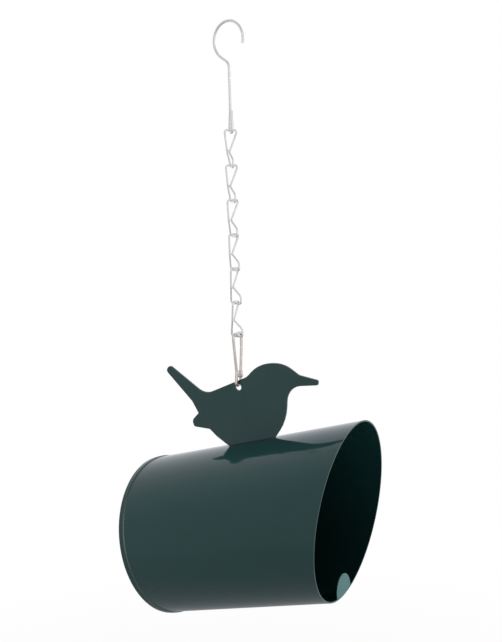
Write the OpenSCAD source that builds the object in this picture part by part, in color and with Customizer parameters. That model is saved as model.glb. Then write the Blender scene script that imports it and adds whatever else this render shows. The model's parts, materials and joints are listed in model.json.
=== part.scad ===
// Hanging jar feeder: a short steel tube with a slanted mouth and a closed back,
// a bird-shaped plate welded along its top, and a hook and chain that carry it.
// The origin is the inside top of the hook's crook, where the feeder hangs.
// +Z is up, +X runs towards the mouth, and +Y goes through the bird plate.

/* [Tube] */
// Outside diameter of the tube
tube_d = 100; // [80:1:130]
// Length of the tube on its axis, from the back to the middle of the slanted mouth
tube_l = 134; // [110:1:170]
// Thickness of the tube's sheet
tube_wall = 0.8; // [0.5:0.05:1.5]
// Slant of the mouth, top forward
mouth_slant = 21.5; // [0:0.5:30]
// Tilt of the tube at rest, mouth up, at which it hangs in balance
rest_tilt = 16.7; // [0:0.1:30]

/* [Jar stop] */
// Width of the tongue that is bent up from the lower lip
stop_w = 20; // [10:1:24]
// Height of the tongue above the inside of the tube
stop_h = 12; // [12:0.5:20]
// Forward lean of the tongue
stop_lean = 11; // [0:1:25]

/* [Back panel] */
// Thickness of the back panel's sheet
panel_t = 0.6; // [0.4:0.05:1.2]
// Depth of the seam that grips the tube's end
seam_depth = 3; // [2:0.1:6]
// Clearance between the seam and the tube's sheet
seam_gap = 0.05; // [0.02:0.01:0.15]

/* [Bird plate] */
// Thickness of the plate
plate_t = 1.2; // [0.8:0.1:3]
// Place of the plate's rear base corner, from the tube's back
plate_x = 65; // [40:0.1:80]
// Length of the plate's base on the tube
base_l = 33.4; // [28:0.1:38]
// Height of the slit that is left under the base between the weld tacks
slit_h = 0.3; // [0.2:0.05:0.6]
// Length of that slit
slit_l = 4.5; // [3:0.5:9]
// Place of the slit's middle, forward of the rear base corner
slit_x = 14.5; // [13:0.5:18]
// Place of the hanging hole, forward of the rear base corner
hole_x = 18.4; // [15:0.1:24]
// Height of the hanging hole above the base
hole_h = 34.8; // [30:0.1:36]
// Room in the hanging hole round the snap hook's wire, in diameter
hole_play = 2.5; // [1:0.1:3]
// Radius of the weld tacks at the plate's foot
tack_r = 1.6; // [1:0.1:3]
// Length of one weld tack
tack_l = 6; // [3:0.5:12]
// Gap that the weld leaves to the sheets
tack_gap = 0.02; // [0.01:0.01:0.05]

/* [Chain] */
// Pitch of the chain
link_pitch = 20; // [16:0.5:26]
// Diameter of the chain's wire
link_wire_d = 1.2; // [0.9:0.1:1.6]
// Width of a loop between its wire centres, before its corners are rounded
link_w = 7.7; // [7:0.1:9]
// Bend radius of a loop's corners, to the wire's centre
link_bend_r = 1.5; // [1:0.1:2]
// Height of the lower loop's shoulder above the link's lower bar
shoulder_h = 4.5; // [4:0.1:5.5]
// Bend radius of that shoulder, to the wire's centre
shoulder_bend_r = 3; // [2:0.5:4]
// Sideways place of the waist off the chain's line, along each of the two loops
waist_shift = 1.7; // [1:0.1:2.2]
// Gap between the strands that lie side by side at the waist
strand_gap = 0.15; // [0.1:0.05:0.3]
// Length by which the wire's ends pass the waist
end_lap = 0.4; // [0.2:0.1:0.6]
// Turn from each link to the next about the chain's line
link_twist = 10; // [0:1:15]
// Gap between two wires that hang in each other
hang_gap = 0.15; // [0.05:0.05:0.4]

/* [Hook] */
// Diameter of the hook's wire
hook_wire_d = 1.6; // [1.2:0.1:2.4]
// Inside radius of the crook
crook_r = 9.7; // [8:0.1:14]
// Length from the inside top of the crook to the chain
hook_l = 60; // [50:1:90]
// Length of the eye that holds the chain
eye_l = 14; // [10:0.5:20]
// Width of the eye between its wire centres
eye_w = 5.4; // [5:0.1:8]
// Bend radius of the eye's corners, to the wire's centre
eye_bend_r = 1.8; // [1.4:0.1:2]
// Bend radius between crook and shank, to the wire's centre
shank_bend_r = 5; // [2:0.5:6]
// Direction of the crook, from +X
crook_turn = -8; // [-90:1:90]

/* [Snap hook] */
// Diameter of the snap hook's wire
snap_wire_d = 1.8; // [1.4:0.1:2.2]
// Length inside the snap hook, from the chain to the hanging hole
snap_l = 30; // [26:0.5:45]
// Width at the top between the wire centres
snap_top_w = 10; // [8:0.2:14]
// Clearance between the plate and the wire at the neck
neck_clear = 0.5; // [0.4:0.1:1]
// Clearance between the plate and the wire at the lower eye
eye_clear = 1.5; // [1.3:0.1:2.5]
// Height of the neck above the lower end
snap_neck_h = 9; // [8:0.5:13]
// Bend radius of the corners, to the wire's centre
snap_bend_r = 2.2; // [1.6:0.1:2.4]
// Drop of the nose below the top
nose_drop = 9; // [7:0.5:12]
// Gap between the nose and the closed gate
nose_gap = 0.25; // [0.1:0.05:0.5]

/* [Gate hinge] */
// Height of the hinge above the lower end
hinge_h = 5.4; // [5:0.1:7]
// Diameter of the hinge lug and of the gate's cheeks
lug_d = 2.6; // [2.2:0.1:3]
// Thickness of the lug
lug_t = 0.9; // [0.6:0.1:1.2]
// Thickness of one cheek of the gate
cheek_t = 0.5; // [0.4:0.05:0.8]
// Side clearance between the cheeks and the lug
cheek_gap = 0.1; // [0.05:0.05:0.2]
// Diameter of the rivet
rivet_d = 1; // [0.8:0.05:1.1]
// Radial running clearance of the rivet in the gate
rivet_gap = 0.05; // [0.02:0.01:0.1]
// Diameter of the rivet's heads
rivet_head_d = 1.9; // [1.5:0.1:2.2]
// Thickness of one rivet head
rivet_head_t = 0.4; // [0.3:0.05:0.6]

/* [Hidden] */
$fn = 48;

paint = [0.19, 0.27, 0.27];
zinc = [0.78, 0.78, 0.77];
nickel = [0.74, 0.72, 0.68];

// Number of links: the nodes name each of them
links = 6;

// Levels down the hanging line: each is where one wire rests on the next
chain_z = -hook_l;
snap_z = chain_z - links * link_pitch;
hang_z = snap_z - snap_l;

// Directions round the hanging line: the last link's lower loop lies along X
first_turn = 90 - (links - 1) * link_twist;
eye_turn = first_turn + 90 + link_twist;

// Bends are a hair thicker than the straight wire, which runs a little way into them
bend_swell = 0.015;
bend_lap = 0.06;

function unit(v) = v / norm(v);
function along(turn) = [cos(turn), sin(turn), 0];
function at_z(z) = [0, 0, z];

// A straight piece of round wire from one point to another
module wire_bar(from, to, d) {
    v = to - from;
    translate(from)
        rotate([0, acos(v.z / norm(v)), atan2(v.y, v.x)])
            cylinder(h = norm(v), d = d);
}

function heading(pts, i) = unit(pts[i + 1] - pts[i]);
function turn_at(pts, i) = acos(heading(pts, i - 1) * heading(pts, i));
function is_corner(pts, i) = i > 0 && i < len(pts) - 1;
function trim_at(pts, bends, i) =
    is_corner(pts, i) ? bends[i] * tan(turn_at(pts, i) / 2) : 0;
function bar_trim_at(pts, bends, i) =
    is_corner(pts, i) ? trim_at(pts, bends, i) - bend_lap : 0;

// One bend of round wire at a corner of its path
module wire_bend(pts, bends, i, d) {
    u = heading(pts, i - 1);
    w = heading(pts, i);
    n = unit(w - (w * u) * u);
    b = cross(-n, u);
    c = pts[i] - u * trim_at(pts, bends, i) + n * bends[i];
    multmatrix([[-n.x, u.x, b.x, c.x], [-n.y, u.y, b.y, c.y], [-n.z, u.z, b.z, c.z], [0, 0, 0, 1]])
        rotate_extrude(angle = turn_at(pts, i))
            translate([bends[i], 0])
                circle(d = d + 2 * bend_swell);
}

// Round wire along a path of corners, with a bend radius at each inner corner
module wire(pts, bends, d) {
    for (i = [0 : len(pts) - 2])
        wire_bar(pts[i] + heading(pts, i) * bar_trim_at(pts, bends, i),
                 pts[i + 1] - heading(pts, i) * bar_trim_at(pts, bends, i + 1), d);
    for (i = [1 : len(pts) - 2])
        wire_bend(pts, bends, i, d);
}

// Hook: a round crook on a straight shank with a narrow eye below
crook_mid_r = crook_r + hook_wire_d / 2 + bend_swell;
crook_tip = -15;
crook_end = 57;
eye_neck_bend_r = 4;

module hanging_hook() {
    side = along(eye_turn);
    bar_z = chain_z - hang_gap / 2 - hook_wire_d / 2;
    eye_top = bar_z + eye_l;
    tail_in = hook_wire_d + 2 * hang_gap;
    inward = -cos(crook_end) * along(crook_turn);
    crook_foot = at_z(-crook_r - crook_mid_r * sin(crook_end)) + crook_mid_r * inward;
    shank_top = at_z(-crook_r - crook_mid_r / sin(crook_end));
    color(zinc) {
        translate([0, 0, -crook_r])
            rotate([90, 0, crook_turn])
                rotate(crook_tip)
                    rotate_extrude(angle = 180 - crook_tip + crook_end)
                        translate([crook_mid_r, 0])
                            circle(d = hook_wire_d + 2 * bend_swell);
        wire([crook_foot - bend_lap * unit(shank_top - crook_foot),
              shank_top,
              at_z(eye_top),
              at_z(bar_z) + side * eye_w / 2,
              at_z(bar_z) - side * eye_w / 2,
              at_z(eye_top - hook_wire_d) - side * tail_in],
             [0, shank_bend_r, eye_neck_bend_r, eye_bend_r, eye_bend_r, 0], hook_wire_d);
    }
}

// Chain link: one wire bent into two loops, the lower turned square to the upper.
// Its middle strand passes the waist, and both ends of the wire lie against it there.
// The waist lies to one side of both loops, so one strand of each runs nearly straight down.
waist_share = 0.56;
waist_bend_r = 4;
end_aside = 0.62;

module chain_link(number) {
    top_z = chain_z - (number - 1) * link_pitch + hang_gap / 2 + link_wire_d / 2;
    bottom_z = chain_z - number * link_pitch - hang_gap / 2 - link_wire_d / 2;
    waist_z = top_z - waist_share * (top_z - bottom_z);
    u = along(first_turn + (number - 1) * link_twist);
    v = along(first_turn + (number - 1) * link_twist + 90);
    strand = link_wire_d + strand_gap;
    waist = at_z(waist_z) + (v - u) * waist_shift;
    color(zinc)
        wire([waist - at_z(end_lap) + u * strand * end_aside,
              at_z(top_z) + u * link_w / 2,
              at_z(top_z) - u * link_w / 2,
              waist - u * strand / 2,
              at_z(bottom_z) + v * link_w / 2,
              at_z(bottom_z) - v * link_w / 2,
              at_z(bottom_z + shoulder_h) - v * link_w / 2,
              waist + at_z(end_lap) - v * strand],
             [0, link_bend_r, link_bend_r, waist_bend_r, link_bend_r, link_bend_r, shoulder_bend_r, 0],
             link_wire_d);
}

// Snap hook: a pear-shaped wire body in the Y-Z plane, with a gate on its +Y side
snap_top_z = snap_z + hang_gap / 2 + snap_wire_d / 2;
snap_bottom_z = hang_z - hang_gap / 2 - snap_wire_d / 2;
snap_neck_w = plate_t + 2 * neck_clear + snap_wire_d;
snap_eye_w = plate_t + 2 * eye_clear + snap_wire_d;
snap_neck_bend_r = 4;
fork_t = lug_t + 2 * cheek_gap + 2 * cheek_t;
gate_inset = 0.4;
slot_room = 0.6;
fork_web = 1.2;
hinge = [0, snap_eye_w / 2 - gate_inset, snap_bottom_z + hinge_h];
nose = [0, snap_top_w / 2 - gate_inset, snap_top_z - nose_drop];
gate_way = unit(nose - hinge);

// A round hole or pin along X through the gate's hinge
module across_hinge(d, l) {
    translate(hinge)
        rotate([0, 90, 0])
            cylinder(h = l, d = d, center = true);
}

module snap_hook_body() {
    lug_foot = hinge - at_z(lug_d / 2 + snap_wire_d / 2);
    color(nickel)
        difference() {
            union() {
                wire([nose,
                      [0, snap_top_w / 2, snap_top_z],
                      [0, -snap_top_w / 2, snap_top_z],
                      [0, -snap_neck_w / 2, snap_bottom_z + snap_neck_h],
                      [0, -snap_eye_w / 2, snap_bottom_z],
                      [0, snap_eye_w / 2, snap_bottom_z],
                      lug_foot],
                     [0, snap_bend_r, snap_bend_r, snap_neck_bend_r, snap_bend_r, snap_bend_r, 0],
                     snap_wire_d);
                across_hinge(lug_d, lug_t);
                translate([-lug_t / 2, hinge.y - snap_wire_d / 2, lug_foot.z - snap_wire_d / 4])
                    cube([lug_t, snap_wire_d, hinge.z - lug_foot.z + snap_wire_d / 4]);
            }
            across_hinge(rivet_d, snap_wire_d);
        }
}

module snap_hook_gate() {
    slot = lug_t + 2 * cheek_gap;
    slot_top = lug_d / 2 + slot_room;
    color(nickel)
        difference() {
            union() {
                wire_bar(hinge + gate_way * lug_d / 2, nose - gate_way * nose_gap, snap_wire_d);
                across_hinge(lug_d, fork_t);
                translate(hinge)
                    rotate([-atan2(gate_way.y, gate_way.z), 0, 0])
                        translate([-fork_t / 2, -snap_wire_d / 2, 0])
                            cube([fork_t, snap_wire_d, slot_top + fork_web]);
            }
            translate(hinge)
                rotate([-atan2(gate_way.y, gate_way.z), 0, 0])
                    translate([-slot / 2, -lug_d, -lug_d])
                        cube([slot, 2 * lug_d, lug_d + slot_top]);
            across_hinge(rivet_d + 2 * rivet_gap, 2 * fork_t);
        }
}

module gate_rivet() {
    color(nickel) {
        across_hinge(rivet_d, fork_t + 2 * cheek_gap + 2 * rivet_head_t);
        for (side = [-1, 1])
            translate([side * (fork_t / 2 + cheek_gap + rivet_head_t / 2), 0, 0])
                across_hinge(rivet_head_d, rivet_head_t);
    }
}

// Feeder: drawn along its own axis from the back, then hung by the hole
tube_r = tube_d / 2;
hole_d = snap_wire_d + hole_play;
hole_at = [plate_x + hole_x, 0, tube_r + hole_h];
hole_z = hang_z + hang_gap / 2 - hole_d / 2;

module hung() {
    translate(at_z(hole_z))
        rotate([0, -rest_tilt, 0])
            translate(-hole_at)
                children();
}

// Everything behind the slanted plane of the mouth
module behind_mouth() {
    size = 2 * tube_d;
    translate([tube_l, 0, 0])
        rotate([0, mouth_slant, 0])
            translate([-2 * size, -size / 2, -size / 2])
                cube([2 * size, size, size]);
}

// Flat tongue with a round top, standing on the lower lip
module jar_stop() {
    foot_x = tube_l - (tube_r - tube_wall) * tan(mouth_slant);
    round_r = stop_w / 2;
    translate([foot_x - tube_wall, 0, -tube_r + tube_wall])
        rotate([0, stop_lean, 0])
            rotate([90, 0, 90])
                linear_extrude(tube_wall) {
                    translate([-stop_w / 2, -tube_wall])
                        square([stop_w, stop_h - round_r + tube_wall]);
                    translate([0, stop_h - round_r])
                        circle(r = round_r);
                }
}

module feeder_tube() {
    start = panel_t + seam_gap;
    color(paint)
        hung() {
            intersection() {
                difference() {
                    translate([start, 0, 0])
                        rotate([0, 90, 0])
                            cylinder(h = 2 * tube_l, r = tube_r, $fn = 128);
                    rotate([0, 90, 0])
                        cylinder(h = 3 * tube_l, r = tube_r - tube_wall, $fn = 128);
                }
                behind_mouth();
            }
            intersection() {
                jar_stop();
                rotate([0, 90, 0])
                    cylinder(h = 2 * tube_l, r = tube_r - tube_wall / 2, $fn = 128);
            }
        }
}

// Back panel: a dished disc whose edge is folded round the tube's end
module back_panel() {
    out_in = tube_r + seam_gap;
    in_out = tube_r - tube_wall - seam_gap;
    color(paint)
        hung()
            rotate([0, 90, 0])
                rotate_extrude($fn = 128)
                    polygon([[0, seam_depth - panel_t], [in_out - panel_t, seam_depth - panel_t],
                             [in_out - panel_t, 0], [out_in + panel_t, 0], [out_in + panel_t, seam_depth],
                             [out_in, seam_depth], [out_in, panel_t], [in_out, panel_t],
                             [in_out, seam_depth], [0, seam_depth]]);
}

// Bird outline: corners forward of and above the rear base corner, with the radius that rounds each
bird_corners = [
    [0, 0, 0], [slit_x - slit_l / 2, 0, 0], [slit_x - slit_l / 2 + slit_h, slit_h, 0],
    [slit_x + slit_l / 2 - slit_h, slit_h, 0], [slit_x + slit_l / 2, 0, 0],
    [base_l, 0, 0], [44.4, 9, 31], [51.6, 28.7, 11],
    [71.3, 25.7, 1], [72.4, 28.4, 1.2], [61, 33.8, 4], [53.1, 42.8, 18],
    [37, 45.9, 22], [26.2, 39.6, 10], [-7, 34.9, 11], [-27.2, 58.1, 2.2],
    [-31, 55.3, 2.2], [-17.9, 32.5, 5], [-15.7, 24.2, 0.4], [-22, 20.6, 3.2],
    [-21.8, 16.4, 1.9], [-10.8, 12.9, 0.8], [-7, 7.4, 12]
];
arc_step = 8;

function flat(v) = [v[0], v[1]];

// Points of the arc that rounds one corner between its two neighbours
function corner_arc(before, corner, after) =
    let (p = flat(corner), r = corner[2],
         u = unit(p - flat(before)), w = unit(flat(after) - p),
         turn = acos(u * w), hand = sign(u.x * w.y - u.y * w.x),
         start = p - u * r * tan(turn / 2), n = hand * [-u.y, u.x],
         steps = ceil(turn / arc_step))
    r == 0 ? [p] :
    [for (k = [0 : steps])
        start + n * r * (1 - cos(turn * k / steps)) + u * r * sin(turn * k / steps)];

function rounded(corners) =
    let (count = len(corners))
    [for (i = [0 : count - 1])
        each corner_arc(corners[(i + count - 1) % count], corners[i], corners[(i + 1) % count])];

module bird_plate() {
    color(paint)
        hung()
            difference() {
                translate([plate_x, plate_t / 2, tube_r])
                    rotate([90, 0, 0])
                        linear_extrude(plate_t)
                            polygon(rounded(bird_corners));
                translate(hole_at)
                    rotate([90, 0, 0])
                        cylinder(h = 3 * plate_t, d = hole_d, center = true);
            }
}

// Weld tacks: two short beads in the corner between tube and plate, on the plate's far side
module bird_weld() {
    color(paint)
        hung()
            difference() {
                for (x = [tack_l, base_l - tack_l])
                    translate([plate_x + x - tack_l / 2, plate_t / 2, tube_r])
                        rotate([0, 90, 0])
                            cylinder(h = tack_l, r = tack_r);
                translate([0, plate_t / 2 + tack_gap - 2 * tack_r, tube_r - tack_r])
                    cube([2 * tube_l, 2 * tack_r, 3 * tack_r]);
                rotate([0, 90, 0])
                    cylinder(h = 2 * tube_l, r = tube_r + tack_gap, $fn = 128);
            }
}

hanging_hook();
chain_link(1);  // chain_link_1
chain_link(2);  // chain_link_2
chain_link(3);  // chain_link_3
chain_link(4);  // chain_link_4
chain_link(5);  // chain_link_5
chain_link(6);  // chain_link_6
snap_hook_body();
snap_hook_gate();
gate_rivet();
bird_plate();
bird_weld();
feeder_tube();
back_panel();
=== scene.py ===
# %% [markdown]
# # A hanging jar feeder
#
# This lesson dresses a small garden feeder: a dark green steel tube with a slanted mouth, a flat
# steel bird welded along its top, and a snap hook, a wire chain and a hook that carry it.
# The solids come ready-made from the construction model, at their real size and in metres.
# We could remodel them here, but then they could drift from the real sizes, so this file only
# adds what the solids lack: the view, the light, the finishes, and the paint and weld metal that
# gather in the corners.

# %% Load the solids
import json
import math

import bpy
from mathutils import Matrix, Vector


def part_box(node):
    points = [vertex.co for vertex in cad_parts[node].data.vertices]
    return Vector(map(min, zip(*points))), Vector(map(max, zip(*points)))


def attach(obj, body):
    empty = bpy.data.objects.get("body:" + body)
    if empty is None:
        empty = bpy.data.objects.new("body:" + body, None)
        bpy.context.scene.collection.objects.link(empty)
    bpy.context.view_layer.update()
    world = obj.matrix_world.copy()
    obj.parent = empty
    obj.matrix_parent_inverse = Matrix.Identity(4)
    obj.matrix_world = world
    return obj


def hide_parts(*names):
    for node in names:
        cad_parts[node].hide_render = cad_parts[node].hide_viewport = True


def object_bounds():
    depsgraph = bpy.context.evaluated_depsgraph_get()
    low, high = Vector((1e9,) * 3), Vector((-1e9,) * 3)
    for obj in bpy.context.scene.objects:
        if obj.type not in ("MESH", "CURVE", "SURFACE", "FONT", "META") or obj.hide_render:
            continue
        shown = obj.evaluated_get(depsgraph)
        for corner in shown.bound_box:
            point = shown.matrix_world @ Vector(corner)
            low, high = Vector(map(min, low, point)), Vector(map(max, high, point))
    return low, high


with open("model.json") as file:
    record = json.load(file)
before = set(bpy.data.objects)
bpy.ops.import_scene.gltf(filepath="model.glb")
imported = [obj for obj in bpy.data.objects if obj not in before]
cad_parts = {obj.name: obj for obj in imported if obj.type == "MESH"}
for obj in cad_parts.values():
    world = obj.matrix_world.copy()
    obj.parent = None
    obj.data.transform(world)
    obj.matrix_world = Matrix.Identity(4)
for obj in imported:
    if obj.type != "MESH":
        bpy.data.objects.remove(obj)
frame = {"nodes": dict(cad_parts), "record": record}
nodes = frame["nodes"]
cad_low, cad_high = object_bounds()

# %% [markdown]
# ## The camera
#
# The photograph looks down a little at the feeder from the mouth's side, with a normal lens held
# nearly level. A camera could be aimed by eye, but a place, a heading, a pitch and a roll say the
# same thing in four plain values, so we turn them into one matrix. The picture is taller than it
# is wide, so Blender lays the sensor's width along the picture's height.

# %% Place the camera
camera_place = Vector((0.2457, -0.4151, -0.0875))
camera_heading = math.radians(29.60)
camera_pitch = math.radians(-9.89)
camera_roll = math.radians(-1.56)
level = math.radians(90)
picture_height_px = 642
focal_length_px = 814.7
sensor_width_mm = 36.0
nearest_seen = 0.01

camera_data = bpy.data.cameras.new("photo_camera")
camera_data.sensor_width = sensor_width_mm
camera_data.lens = sensor_width_mm * focal_length_px / picture_height_px
camera_data.clip_start = nearest_seen
camera = bpy.data.objects.new("photo_camera", camera_data)
camera.matrix_world = (
    Matrix.Translation(camera_place)
    @ Matrix.Rotation(camera_heading, 4, "Z")
    @ Matrix.Rotation(level + camera_pitch, 4, "X")
    @ Matrix.Rotation(camera_roll, 4, "Z")
)
scene = bpy.context.scene
scene.collection.objects.link(camera)
scene.camera = camera
scene.view_settings.view_transform = "Standard"
view_way = camera.matrix_world.to_3x3() @ Vector((0, 0, -1))
print("lens:", round(camera_data.lens, 2), "mm, looking along", [round(v, 2) for v in view_way])

# %% [markdown]
# ## Small helpers for node trees
#
# The light and every finish below are trees of shader nodes. Adding a node and wiring its sockets
# takes several lines each time, so a few short functions do it, and the trees stay easy to read.


# %% Node helpers
def plug(tree, socket, source):
    """Links a socket to another node's output, or sets it to a plain value."""
    if isinstance(source, bpy.types.NodeSocket):
        tree.links.new(source, socket)
    else:
        socket.default_value = source


def add_node(tree, kind, inputs=None, **settings):
    """Adds a node with its settings, and plugs its inputs by name or by number."""
    node = tree.nodes.new(kind)
    for name, value in settings.items():
        setattr(node, name, value)
    for name, source in (inputs or {}).items():
        plug(tree, node.inputs[name], source)
    return node


def calculate(tree, operation, first, second):
    """One step of arithmetic on two values."""
    return add_node(tree, "ShaderNodeMath", {0: first, 1: second}, operation=operation).outputs[0]


def spread(tree, value, low, high, to_low=0.0, to_high=1.0):
    """Stretches the span from low to high over the span from to_low to to_high, and no further."""
    inputs = {
        "Value": value,
        "From Min": low,
        "From Max": high,
        "To Min": to_low,
        "To Max": to_high,
    }
    return add_node(tree, "ShaderNodeMapRange", inputs, clamp=True).outputs[0]


def blend_colour(tree, share, first, second):
    """Mixes two colours. The numbers are those of the Mix node's colour sockets."""
    node = add_node(tree, "ShaderNodeMix", {0: share, 6: first, 7: second}, data_type="RGBA")
    return node.outputs[2]


def noise(tree, place, scale, detail=2.0):
    """Soft random values round 0.5, with about as many spots in a metre as the scale says."""
    inputs = {"Vector": place, "Scale": scale, "Detail": detail}
    return add_node(tree, "ShaderNodeTexNoise", inputs).outputs[0]


def new_group(name, inputs, outputs):
    """A node group with named inputs and outputs, and the sockets that its inputs come in by."""
    group = bpy.data.node_groups.new(name, "ShaderNodeTree")
    for label, kind, value in inputs:
        socket = group.interface.new_socket(label, in_out="INPUT", socket_type=kind)
        socket.default_value = value
    for label, kind in outputs:
        group.interface.new_socket(label, in_out="OUTPUT", socket_type=kind)
    return group, add_node(group, "NodeGroupInput").outputs


print("helpers ready")

# %% [markdown]
# ## What the gloss mirrors
#
# Gloss paint and bright wire show their surroundings: a white backdrop, which fades into a grey
# room on the camera's side, and one white panel to the right of the camera. Real walls and panels
# could stand round the feeder, but they would light and shade it as well. A node group that turns
# a direction into a colour leaves the light alone, and the world and the floor can share it.


# %% Mirrored studio
def heading(tree, way, toward):
    """How far a direction heads toward another: 1 along it, 0 square to it, -1 away from it."""
    ways = {0: way, 1: toward.normalized()}
    return add_node(tree, "ShaderNodeVectorMath", ways, operation="DOT_PRODUCT").outputs["Value"]


black = (0.0, 0.0, 0.0, 1)
cool_white = (0.97, 0.985, 1.05, 1)
room_grey = 0.48
room_starts = -0.25
backdrop_starts = 0.85
panel_way = Vector((0.80, -0.55, 0.05))
panel_rim = 0.62
panel_core = 0.86


def make_mirrored_studio():
    group, given = new_group(
        "mirrored_studio", [("Way", "NodeSocketVector", (0, 0, 0))], [("Colour", "NodeSocketColor")]
    )
    toward_backdrop = heading(group, given["Way"], view_way)
    toward_panel = heading(group, given["Way"], panel_way)
    backdrop = spread(group, toward_backdrop, room_starts, backdrop_starts, room_grey, 1.0)
    panel = spread(group, toward_panel, panel_rim, panel_core)
    brightest = calculate(group, "MAXIMUM", backdrop, panel)
    colour = blend_colour(group, brightest, black, cool_white)
    add_node(group, "NodeGroupOutput", {"Colour": colour})
    return group


mirrored_studio = make_mirrored_studio()


def mirrored(tree, way):
    """The colour that gloss sees in a direction."""
    return add_node(tree, "ShaderNodeGroup", {"Way": way}, node_tree=mirrored_studio).outputs[0]


print("group:", mirrored_studio.name)

# %% [markdown]
# ## The world
#
# The feeder was photographed before plain white. If strong lamps made that white, the dark paint
# would wash out, so the world gives it, at strength 1. The world answers each kind of ray in its
# own way: the camera sees plain white, gloss sees the mirrored studio, and matt surfaces get the
# even grey light of a sky.


# %% World
def from_gloss(tree, rays):
    """1 for a ray that comes off gloss or out of glass, 0 for any other."""
    return calculate(tree, "MAXIMUM", rays["Is Glossy Ray"], rays["Is Transmission Ray"])


plain_white = (1.0, 1.0, 1.0, 1)
sky_grey = (0.36, 0.36, 0.36, 1)

world = bpy.data.worlds.new("white_studio")
world.use_nodes = True
scene.world = world
tree = world.node_tree
tree.nodes.clear()
ray_way = add_node(tree, "ShaderNodeTexCoord").outputs["Generated"]
rays = add_node(tree, "ShaderNodeLightPath").outputs
colour = blend_colour(tree, from_gloss(tree, rays), sky_grey, mirrored(tree, ray_way))
colour = blend_colour(tree, rays["Is Camera Ray"], colour, plain_white)
studio_light = add_node(tree, "ShaderNodeBackground", {"Color": colour, "Strength": 1.0})
add_node(tree, "ShaderNodeOutputWorld", {"Surface": studio_light.outputs[0]})
print("world:", world.name)

# %% [markdown]
# ## The floor
#
# The feeder hangs, so the floor lies well below it and only closes the studio. A plain matt floor
# would show a grey horizon behind the feeder, so this one answers each kind of ray as well. Light
# that falls on it comes back as from a matt floor. The camera sees it glow white, with a little
# less glow under the feeder. Gloss sees it grey near by, a painted shade of the floor under the
# feeder, and like the mirrored studio further out. A floor can't tell where a ray started, so that
# is worked out as seen from the tube's middle.

# %% Floor
floor_drop = 0.40
floor_size = 30.0

bpy.ops.mesh.primitive_plane_add(size=floor_size, location=(0, 0, cad_low.z - floor_drop))
floor = bpy.context.object
floor.name = "studio_floor"
print("floor at", round(floor.location.z, 3), "m")

# %% Floor finish
matt_white = (0.80, 0.80, 0.80, 1)
# Gloss sees this grey near the feeder: a painted shade of the floor below it.
mirrored_floor_shade = (0.349, 0.355, 0.378, 1)
shadow_core = 0.30
shadow_rim = 0.90
shadow_glow = 0.85
grey_core = 0.45
grey_rim = 1.60
tube_low, tube_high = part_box("feeder_tube")
tube_middle = (tube_low + tube_high) / 2
tube_to_floor = floor.location - tube_middle

floor_finish = bpy.data.materials.new("studio_floor")
floor_finish.use_nodes = True
tree = floor_finish.node_tree
tree.nodes.clear()
place = add_node(tree, "ShaderNodeTexCoord").outputs["Object"]
away = add_node(tree, "ShaderNodeVectorMath", {0: place}, operation="LENGTH").outputs["Value"]
sight = add_node(tree, "ShaderNodeVectorMath", {0: place, 1: tube_to_floor}, operation="ADD")
sight = add_node(tree, "ShaderNodeVectorMath", {0: sight.outputs[0]}, operation="NORMALIZE")
far_off = spread(tree, away, grey_core, grey_rim)
gloss_sees = blend_colour(tree, far_off, mirrored_floor_shade, mirrored(tree, sight.outputs[0]))
camera_glow = spread(tree, away, shadow_core, shadow_rim, shadow_glow, 1.0)
rays = add_node(tree, "ShaderNodeLightPath").outputs
gloss_glow = from_gloss(tree, rays)
colour = blend_colour(tree, gloss_glow, plain_white, gloss_sees)
share = spread(tree, rays["Is Camera Ray"], 0.0, 1.0, gloss_glow, camera_glow)
matt = add_node(tree, "ShaderNodeBsdfDiffuse", {"Color": matt_white})
glow = add_node(tree, "ShaderNodeEmission", {"Color": colour, "Strength": 1.0})
both = add_node(tree, "ShaderNodeMixShader", {0: share, 1: matt.outputs[0], 2: glow.outputs[0]})
add_node(tree, "ShaderNodeOutputMaterial", {"Surface": both.outputs[0]})
floor.data.materials.append(floor_finish)
print("floor finish:", floor_finish.name)

# %% [markdown]
# ## Lamps
#
# One large soft lamp stands before the feeder, and one behind it on the mouth's side gives the
# rims their light line. A small spotlight shines into the mouth, on the jar stop inside the lower
# lip. More lamps could make the reflections too, but the world already is what the gloss mirrors,
# so these give matt light only.


# %% Lamps
def place_lamp(data, place, aim):
    """Hangs up a lamp that points at a place and shows in no reflection."""
    lamp = bpy.data.objects.new(data.name, data)
    lamp.location = place
    lamp.rotation_euler = (aim - place).to_track_quat("-Z", "Y").to_euler()
    lamp.visible_glossy = False
    scene.collection.objects.link(lamp)
    return lamp


def soft_lamp(name, place, aim, size, power):
    data = bpy.data.lights.new(name, "AREA")
    data.shape = "DISK"
    data.size = size
    data.energy = power
    return place_lamp(data, place, aim)


def spotlight(name, place, aim, beam, size, power, tint):
    data = bpy.data.lights.new(name, "SPOT")
    data.spot_size = beam
    data.spot_blend = 1.0
    data.shadow_soft_size = size
    data.energy = power
    data.color = tint
    return place_lamp(data, place, aim)


jar_stop = Vector((0.0680, 0.0, -0.3260))
front_place = Vector((-0.50, -1.15, 0.85))
back_place = tube_middle + Vector((1.10, 0.75, 0.44))
mouth_place = jar_stop + Vector((1.15, 0.10, 0.30))
mouth_beam = math.radians(3.6)
warm_white = (1.0, 0.81, 0.80)
lamps = [
    soft_lamp("front_lamp", front_place, tube_middle, size=1.2, power=18.0),
    soft_lamp("back_lamp", back_place, tube_middle, size=0.4, power=12.0),
    spotlight(
        "mouth_lamp", mouth_place, jar_stop, mouth_beam, size=0.03, power=290.0, tint=warm_white
    ),
]
print("lamps:", [lamp.name for lamp in lamps])

# %% [markdown]
# ## Sprayed paint
#
# Sprayed gloss paint is never quite even. Up close it has a fine orange-peel ripple, its colour and
# gloss drift a little every few centimetres, and here and there a speck of dust dried in. The
# sheet under it is rolled, which leaves faint waves along the tube. An image could carry all that,
# but noise made by nodes has no edges and no fixed resolution. One node group holds it, and each
# painted finish sets its own amounts.


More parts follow.
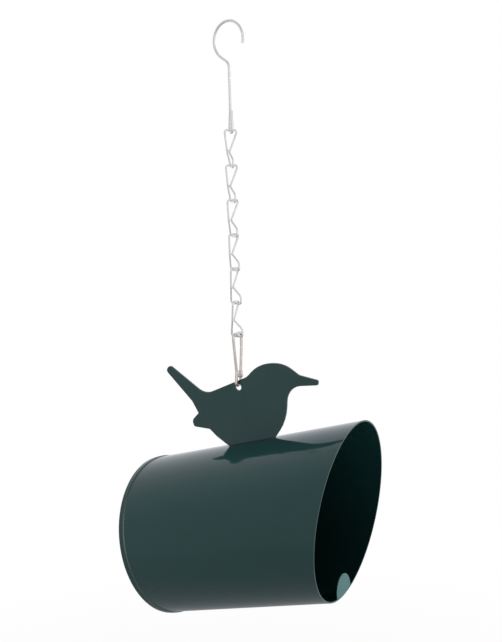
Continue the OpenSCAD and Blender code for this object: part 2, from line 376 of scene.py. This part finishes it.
# %% Sprayed paint group
finish_outputs = [
    ("Colour", "NodeSocketColor"),
    ("Roughness", "NodeSocketFloat"),
    ("Height", "NodeSocketFloat"),
]
drifts_per_metre = 34.0
drift_starts = 0.35
drift_full = 0.70
drift_dulls = 0.03
specks_per_metre = 220.0
speck_rim = 0.07
speck_core = 0.03
speck_height = 1.5
speck_dulls = 0.15
waves_per_metre = 75.0
ripples_per_metre = 480.0


def make_sprayed_paint():
    group, given = new_group(
        "sprayed_paint",
        [
            ("Place", "NodeSocketVector", (0, 0, 0)),
            ("Rolled Place", "NodeSocketVector", (0, 0, 0)),
            ("Full Colour", "NodeSocketColor", (0.01, 0.03, 0.03, 1)),
            ("Thin Colour", "NodeSocketColor", (0.02, 0.04, 0.04, 1)),
            ("Least Roughness", "NodeSocketFloat", 0.1),
            ("Waves", "NodeSocketFloat", 1.0),
        ],
        finish_outputs,
    )
    place = given["Place"]
    drift = noise(group, place, drifts_per_metre, detail=3.0)
    drift = spread(group, drift, drift_starts, drift_full)
    cells = add_node(group, "ShaderNodeTexVoronoi", {"Vector": place, "Scale": specks_per_metre})
    specks = spread(group, cells.outputs["Distance"], speck_rim, speck_core)
    waves = noise(group, given["Rolled Place"], waves_per_metre, detail=1.0)
    waves = calculate(group, "MULTIPLY", waves, given["Waves"])
    height = calculate(group, "ADD", noise(group, place, ripples_per_metre), waves)
    height = calculate(group, "ADD", height, calculate(group, "MULTIPLY", specks, speck_height))
    dulled = calculate(group, "MULTIPLY", drift, drift_dulls)
    rough = calculate(group, "ADD", given["Least Roughness"], dulled)
    rough = calculate(group, "ADD", rough, calculate(group, "MULTIPLY", specks, speck_dulls))
    colour = blend_colour(group, drift, given["Full Colour"], given["Thin Colour"])
    add_node(group, "NodeGroupOutput", {"Colour": colour, "Roughness": rough, "Height": height})
    return group


sprayed_paint = make_sprayed_paint()
print("group:", sprayed_paint.name)

# %% [markdown]
# ## Green paint
#
# The tube, its back panel, the bird and the welds were joined first and then painted together, so
# one very dark blue-green gloss covers them all. The tube gets waves that run along it, and the
# flat pieces get rounder ones. The paint on the seam is lighter, a painted highlight that adds to
# its light line, and a nearly black finish in the gap under the bird is painted shade. Each of
# these materials could be put together by hand, but one function with a few values for each keeps
# them one family.


# %% Green paint materials
def finish_material(name, group, values, metallic, bump_height):
    """A material whose colour, gloss and bump all come from one finish group."""
    material = bpy.data.materials.new(name)
    material.use_nodes = True
    tree = material.node_tree
    shader = tree.nodes["Principled BSDF"]
    finish = add_node(tree, "ShaderNodeGroup", node_tree=group)
    for label, value in values(tree).items():
        plug(tree, finish.inputs[label], value)
    heights = {"Height": finish.outputs["Height"], "Distance": bump_height}
    bump = add_node(tree, "ShaderNodeBump", heights)
    plug(tree, shader.inputs["Base Color"], finish.outputs["Colour"])
    plug(tree, shader.inputs["Roughness"], finish.outputs["Roughness"])
    plug(tree, shader.inputs["Normal"], bump.outputs["Normal"])
    shader.inputs["Metallic"].default_value = metallic
    return material


deep_green = (0.0074, 0.0370, 0.0357, 1)
thin_green = (0.0084, 0.0393, 0.0382, 1)
sheet_green = (0.0135, 0.0440, 0.0430, 1)
plate_green = (0.0195, 0.0500, 0.0490, 1)
# The next two greens are lighter as a painted highlight on the seam strip.
seam_highlight_green = (0.0330, 0.0570, 0.0550, 1)
seam_highlight_drift_green = (0.1100, 0.1400, 0.1360, 1)
# Nearly black: a painted shade for the gap under the front of the bird.
gap_shade_green = (0.0010, 0.0022, 0.0020, 1)
paint_bump = 0.000007
tube_tilt = math.radians(16.7)


def painted(name, full, thin, rough, waves=1.0, stretch=1.0):
    """A green paint on sheet, whose waves keep to the tube's tilt."""
    def values(tree):
        place = add_node(tree, "ShaderNodeTexCoord").outputs["Object"]
        turned = {"Vector": place, "Rotation": (0, tube_tilt, 0), "Scale": (stretch, 1, 1)}
        return {
            "Place": place,
            "Rolled Place": add_node(tree, "ShaderNodeMapping", turned).outputs[0],
            "Full Colour": full,
            "Thin Colour": thin,
            "Least Roughness": rough,
            "Waves": waves,
        }
    return finish_material(name, sprayed_paint, values, metallic=0.0, bump_height=paint_bump)


green_tube = painted(
    "green_paint_tube", deep_green, thin_green, rough=0.09, waves=2.6, stretch=0.08
)
green_sheet = painted("green_paint_sheet", sheet_green, plate_green, rough=0.13, waves=1.5)
# The seam finish is a painted highlight.
green_seam_highlight = painted("green_paint_seam_highlight", seam_highlight_green, seam_highlight_drift_green, rough=0.16)
# The gap finish is painted shade.
green_gap_shade = painted("green_paint_gap_shade", gap_shade_green, gap_shade_green, rough=0.55)
print("materials:", [paint.name for paint in (green_tube, green_sheet, green_seam_highlight, green_gap_shade)])

# %% [markdown]
# ## Wire
#
# The hook and the links are drawn steel wire with a bright zinc coat, and the snap hook is plated a
# little warmer. Drawing leaves fine lines along the wire, and the coat dulls in small clouds. A
# plain metal with one roughness would look like chrome, so a group makes lines and clouds for both
# metals. The wires hang, so stretching the lines upward lays them along most of the wire.


# %% Drawn wire group and metals
lines_per_metre = 5200.0
lines_along = (1, 1, 0.12)
clouds_per_metre = 380.0
clouds_start = 0.40
clouds_full = 0.70
clouds_dull = 0.06


def make_drawn_wire():
    group, given = new_group(
        "drawn_wire",
        [
            ("Place", "NodeSocketVector", (0, 0, 0)),
            ("Bright Colour", "NodeSocketColor", (0.8, 0.8, 0.8, 1)),
            ("Dull Colour", "NodeSocketColor", (0.6, 0.6, 0.6, 1)),
            ("Least Roughness", "NodeSocketFloat", 0.25),
        ],
        finish_outputs,
    )
    place = given["Place"]
    drawn = add_node(group, "ShaderNodeMapping", {"Vector": place, "Scale": lines_along})
    lines = noise(group, drawn.outputs[0], lines_per_metre)
    clouds = noise(group, place, clouds_per_metre, detail=3.0)
    clouds = spread(group, clouds, clouds_start, clouds_full)
    dulled = calculate(group, "MULTIPLY", clouds, clouds_dull)
    rough = calculate(group, "ADD", given["Least Roughness"], dulled)
    colour = blend_colour(group, clouds, given["Bright Colour"], given["Dull Colour"])
    add_node(group, "NodeGroupOutput", {"Colour": colour, "Roughness": rough, "Height": lines})
    return group


drawn_wire = make_drawn_wire()
bright_zinc = (0.94, 0.93, 0.90, 1)
dull_zinc = (0.89, 0.88, 0.86, 1)
bright_warm = (0.83, 0.77, 0.71, 1)
dull_warm = (0.76, 0.69, 0.62, 1)
plating_roughness = 0.22
plating_metallic = 0.78
wire_bump = 0.000001


def plated(name, bright, dull):
    """A plated wire, bright with duller clouds."""
    def values(tree):
        return {
            "Place": add_node(tree, "ShaderNodeTexCoord").outputs["Object"],
            "Bright Colour": bright,
            "Dull Colour": dull,
            "Least Roughness": plating_roughness,
        }
    return finish_material(name, drawn_wire, values, plating_metallic, wire_bump)


zinc_wire = plated("bright_zinc_wire", bright_zinc, dull_zinc)
snap_hook_metal = plated("warm_plated_wire", bright_warm, dull_warm)
print("materials:", [metal.name for metal in (zinc_wire, snap_hook_metal)])

# %% [markdown]
# ## Finishes on the solids
#
# The construction's record names one of three slots for each solid: green paint, zinc wire or snap
# hook metal. The finishes could be given to the solids one by one, but going by the slots keeps
# pieces of one material alike. Only the tube and its back panel differ from the other painted
# pieces: they take the paint with the waves along the tube.

# %% Dress the solids
finish_of_slot = {
    "green_paint": green_sheet,
    "zinc_wire": zinc_wire,
    "snap_hook_metal": snap_hook_metal,
}
finish_of_solid = {"feeder_tube": green_tube, "back_panel": green_tube}

for sub in frame["record"]["subparts"]:
    solid = nodes[sub["node"]]
    finish = finish_of_solid.get(solid.name, finish_of_slot[sub["material_slot"]])
    solid.data.materials.clear()
    solid.data.materials.append(finish)

# %% [markdown]
# ## Measuring the tube
#
# Paint and weld metal gather in the corners between the sheets. To build them we need the corners'
# places, and the solids themselves tell us: seen along the tube, the end panel's seam gives the
# axis, and the lowest points of the bird give its base, which lies on the tube. Measuring keeps
# the small pieces in place if a size of the construction changes, which typed-in numbers wouldn't.


# %% Measure the tube
tube_way = Vector((math.cos(tube_tilt), 0, math.sin(tube_tilt)))
tube_up = Vector((-math.sin(tube_tilt), 0, math.cos(tube_tilt)))


def along_tube(name):
    """A solid's points as distances along the tube, across it and above it."""
    points = [vertex.co for vertex in nodes[name].data.vertices]
    return [Vector((p.dot(tube_way), p.y, p.dot(tube_up))) for p in points]


def from_tube(x, y, z):
    """The place of a point given along the tube, across it and above it."""
    return x * tube_way + Vector((0, y, 0)) + z * tube_up


panel_points = along_tube("back_panel")
plate_points = along_tube("bird_plate")
seam_front = max(p.x for p in panel_points)
seam_top = max(p.z for p in panel_points)
axis_z = (seam_top + min(p.z for p in panel_points)) / 2
base_reach = 0.0001
base_z = min(p.z for p in plate_points)
base_x = [p.x for p in plate_points if p.z < base_z + base_reach]
base_start, base_end = min(base_x), max(base_x)
plate_back = max(p.y for p in plate_points)
seam_r = seam_top - axis_z
tube_r = base_z - axis_z
print("tube radius:", round(1000 * tube_r, 2), "mm, seam radius:", round(1000 * seam_r, 2), "mm")

# %% [markdown]
# ## Strips for the corners
#
# What gathers in a corner is a thin round that lies on both sheets, with detail too fine for the
# construction model. A curve with a bevel could make it, but its section couldn't follow two
# surfaces at once. So we skin it: a row of small sections, each joined to the next, which either
# runs round in a ring or is capped at both ends. Either way the strip is closed, like the solids.


# %% Strip helpers
def skin(sections, is_ring):
    """The points and faces of a strip from equal sections, each joined to the next."""
    rows, count = len(sections), len(sections[0])
    points = [point for section in sections for point in section]
    faces = []
    for row in range(rows if is_ring else rows - 1):
        here, there = row * count, (row + 1) % rows * count
        for i in range(count):
            after = (i + 1) % count
            faces.append((here + i, here + after, there + after, there + i))
    if not is_ring:
        faces += [tuple(reversed(range(count))), tuple(range((rows - 1) * count, rows * count))]
    return points, faces


hard_edge = math.radians(60)


def add_piece(name, points, faces, finish):
    """A smooth mesh that moves with the feeder and wears the given finish."""
    mesh = bpy.data.meshes.new(name)
    mesh.from_pydata(points, [], faces)
    mesh.shade_smooth()
    mesh.set_sharp_from_angle(angle=hard_edge)
    mesh.materials.append(finish)
    piece = bpy.data.objects.new(name, mesh)
    scene.collection.objects.link(piece)
    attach(piece, "feeder")
    return piece


print("strip helpers ready")

# %% [markdown]
# ## Seam paint
#
# The end panel's seam grips the tube and stands a little above it. Wet paint fills that step, and
# its rounded face catches a thin light line round the tube; the strip's lighter green is a painted
# highlight that adds to that line. A torus would bulge, so a small profile with a slanted face goes
# round the tube instead. Its points are given in shares of the step's height, first along the tube
# and then out from it, and its back and foot dip into the metal.

# %% Seam paint
seam_sections = 192
seam_profile = [(-0.25, 0.75), (0.10, 0.80), (0.60, 0.40), (1.10, -0.05), (-0.25, -0.05)]
seam_step = seam_r - tube_r
section = [(seam_front + x * seam_step, tube_r + r * seam_step) for x, r in seam_profile]

rings = []
for i in range(seam_sections):
    turn = 2 * math.pi * i / seam_sections
    across, above = math.sin(turn), math.cos(turn)
    rings.append([from_tube(x, r * across, axis_z + r * above) for x, r in section])
# Its lighter green is a painted highlight along the seam.
seam_paint = add_piece("seam_paint", *skin(rings, True), green_seam_highlight)
print("piece:", seam_paint.name)

# %% [markdown]
# ## Joint paint
#
# The bird stands on the tube on its edge. Paint closes that joint from behind, while its front
# stays a dark gap, and the shade in that gap is painted: a nearly black strip lies in the front
# corner. Darkening the bird's own paint along its foot would take a mask that knows where the foot
# is. A narrow strip in the corner on each side follows the measured base by itself.


# %% Joint paint
sunk = 0.0001
bend = math.radians(15)


def corner_round(x, side, size):
    """A quarter-round in the corner between plate and tube, one bend longer at both ends."""
    turns = [bend * i for i in range(-1, 8)]
    rim = [(size * math.cos(turn), size * math.sin(turn)) for turn in turns] + [(0, 0)]
    section = [from_tube(x, side * (plate_back - sunk + y), base_z - sunk + z) for y, z in rim]
    return section if side > 0 else section[::-1]


def taper(step, bluntness, least):
    """A strip's share of its full size, where step runs from 0 at its start to 1 at its end."""
    return math.sqrt(max(least, 1 - abs(2 * step - 1) ** bluntness))


joint_size = 0.0005
joint_steps = 12
joint_bluntness = 6
joint_least = 0.02
far_side = 1
near_side = -1


def joint_strip(name, side, finish):
    sections = []
    for step in [i / joint_steps for i in range(joint_steps + 1)]:
        x = base_start + step * (base_end - base_start)
        size = joint_size * taper(step, joint_bluntness, joint_least)
        sections.append(corner_round(x, side, size))
    return add_piece(name, *skin(sections, False), finish)


joint_strips = [
    joint_strip("joint_paint_back", far_side, green_sheet),
    # The front strip's nearly black finish is a painted shade in the gap.
    joint_strip("joint_shade_front", near_side, green_gap_shade),
]
print("pieces:", [strip.name for strip in joint_strips])

# %% [markdown]
# ## Weld tacks
#
# Two short welds hold the bird on the far side. The construction model has them as plain rounds,
# but real weld metal freezes in ripples, one behind the other, and runs out thin at both ends.
# Displacing the rounds with noise would look like rust, so we skin each tack from sections that
# swell and shrink in even ripples, and let the piece stand for the plain one.

# %% Weld tacks
weld_growth = 1.05
weld_steps = 48
weld_bluntness = 3
weld_least = 0.003
ripples = 6
ripple_depth = 0.05
weld_points = along_tube("bird_weld")
weld_size = weld_growth * (max(p.y for p in weld_points) - plate_back)
weld_x = [p.x for p in weld_points]
weld_middle = sum(weld_x) / len(weld_x)
tacks = [[x for x in weld_x if x < weld_middle], [x for x in weld_x if x > weld_middle]]

points, faces = [], []
for tack in tacks:
    start, length = min(tack), max(tack) - min(tack)
    sections = []
    for step in [i / weld_steps for i in range(weld_steps + 1)]:
        ripple = 1 + ripple_depth * math.sin(2 * math.pi * ripples * step)
        size = weld_size * taper(step, weld_bluntness, weld_least) * ripple
        sections.append(corner_round(start + step * length, far_side, size))
    tack_points, tack_faces = skin(sections, False)
    faces += [tuple(len(points) + i for i in face) for face in tack_faces]
    points += tack_points
weld_tacks = add_piece("weld_tacks", points, faces, green_sheet)
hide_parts("bird_weld")
print("weld tacks:", len(tacks), "with", len(faces), "faces")
